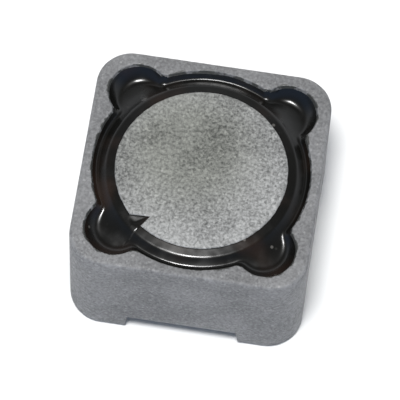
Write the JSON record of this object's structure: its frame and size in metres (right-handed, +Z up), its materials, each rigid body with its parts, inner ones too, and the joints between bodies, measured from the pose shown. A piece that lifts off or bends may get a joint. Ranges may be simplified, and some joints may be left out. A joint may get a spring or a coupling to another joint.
{
  "type": "shielded smd inductor",
  "caption": "Shielded surface-mount power inductor: a wound ferrite drum glued into a square ferrite ring, with folded solder terminals underneath.",
  "frame": {"origin": "centre of the part, on the plane of the two solder lands", "axes": "+Z up, from the solder lands to the drum's upper flange; the terminals lie at -X and +X, the plain side recesses at -Y and +Y"},
  "size_m": [0.012, 0.012, 0.0072],
  "materials": {
    "ring_ferrite": "matte fired ferrite, fine grain, mid grey",
    "drum_ferrite": "ground ferrite, fine speckle, mid grey",
    "enamelled_wire": "clear reddish enamel over copper",
    "tinned_sheet": "matte tin plating, warm white",
    "bond_film": "cured epoxy film",
    "solder": "bright tin solder",
    "black_epoxy": "glossy cured black epoxy"
  },
  "bodies": {
    "root": {"ring_core": "ring_ferrite", "drum_core": "drum_ferrite", "winding": "enamelled_wire", "terminal_left": "tinned_sheet", "terminal_right": "tinned_sheet", "bond_left": "bond_film", "bond_right": "bond_film", "solder_left": "solder", "solder_right": "solder", "top_adhesive": "black_epoxy"}
  },
  "joints": []
}
